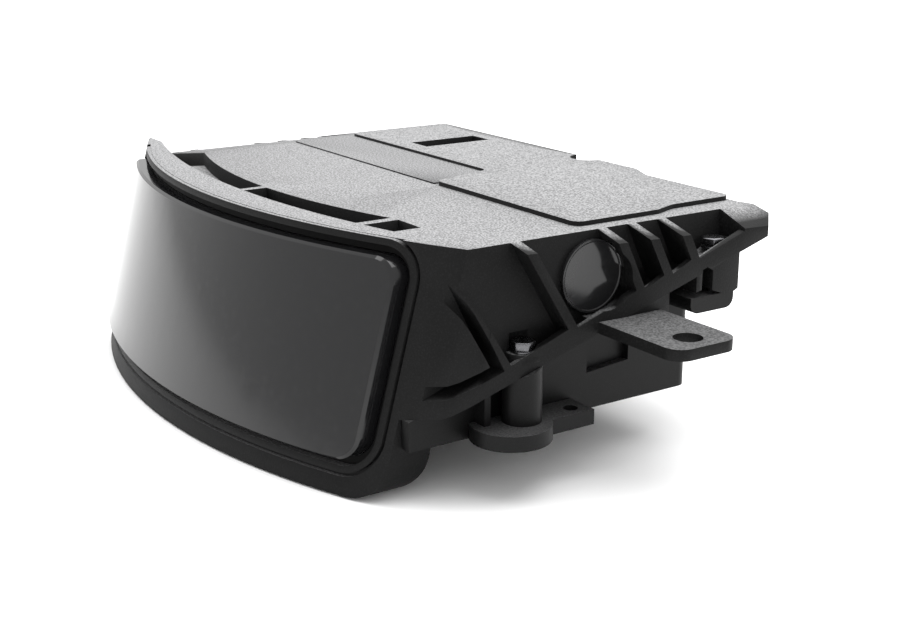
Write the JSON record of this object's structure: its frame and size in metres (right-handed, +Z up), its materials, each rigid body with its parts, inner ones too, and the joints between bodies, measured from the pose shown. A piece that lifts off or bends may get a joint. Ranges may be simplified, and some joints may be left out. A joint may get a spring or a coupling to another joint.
{
  "type": "lidar scanner module",
  "caption": "Wide black lidar scanner module with a raked, curved window, ribbed sides, inclined rails, two mounting ears and a spinning polygon mirror inside.",
  "frame": {"origin": "at the middle of the overall width and depth, on the level of the frame's lowest edge", "axes": "+X to the right seen from the front, -Y where the window looks, +Z up"},
  "size_m": [0.2376, 0.1214, 0.0571],
  "materials": {
    "black_cast": "textured black coat",
    "base_cast": "satin black coat",
    "window_glass": "gloss, opaque to visible light",
    "seal_rubber": "matte",
    "vent_plastic": "gloss",
    "screw_steel": "dark zinc",
    "bright_steel": "bright",
    "connector_plastic": "matte",
    "contact_brass": "gold plated",
    "board_green": "solder mask",
    "chip_black": "moulded",
    "pad_grey": "soft",
    "bench_aluminium": "machined",
    "black_sheet": "matte black",
    "stator_steel": "laminated",
    "mirror_coat": "polished",
    "encoder_glass": "clear with fine lines",
    "motor_can": "satin",
    "barrel_black": "black anodised",
    "lens_glass": "coated"
  },
  "bodies": {
    "housing": {"upper_housing": "black_cast", "lower_housing": "base_cast", "front_window": "window_glass", "window_seal": "seal_rubber", "vent_disc": "vent_plastic", "housing_gasket": "seal_rubber", "side_screws": "screw_steel", "board_screws": "bright_steel", "bench_screws": "bright_steel", "rear_screw": "screw_steel", "connector_shell": "connector_plastic", "connector_pins": "contact_brass", "connector_gasket": "seal_rubber", "connector_board": "board_green", "main_board": "board_green", "main_chips": "chip_black", "thermal_pad": "pad_grey", "optical_bench": "bench_aluminium", "power_board": "board_green", "power_parts": "chip_black", "light_baffle": "black_sheet", "motor_base": "bench_aluminium", "stator": "stator_steel", "rotor_bearings": "bright_steel", "encoder_sensor": "chip_black", "tilt_motor": "motor_can", "laser_barrel": "barrel_black", "laser_lens": "lens_glass", "laser_diode": "contact_brass", "laser_board": "board_green", "receiver_barrel": "barrel_black", "receiver_lenses": "lens_glass", "detector_board": "board_green", "detector": "chip_black"},
    "spinner": {"polygon_mirror": "mirror_coat", "rotor_shaft": "bright_steel", "magnet_ring": "stator_steel", "encoder_disc": "encoder_glass"},
    "tilter": {"tilt_mirror": "mirror_coat", "tilt_shaft": "bright_steel"}
  },
  "joints": [
    {"name": "mirror_spin", "type": "hinge", "parent": "housing", "child": "spinner", "pos_m": [0.034, -0.0093, 0.038], "axis": [0, 0, 1], "continuous": true},
    {"name": "mirror_tilt", "type": "hinge", "parent": "housing", "child": "tilter", "pos_m": [0.03, 0.0277, 0.038], "axis": [-0.7071, -0.7071, 0], "range_deg": [-12, 12]}
  ]
}
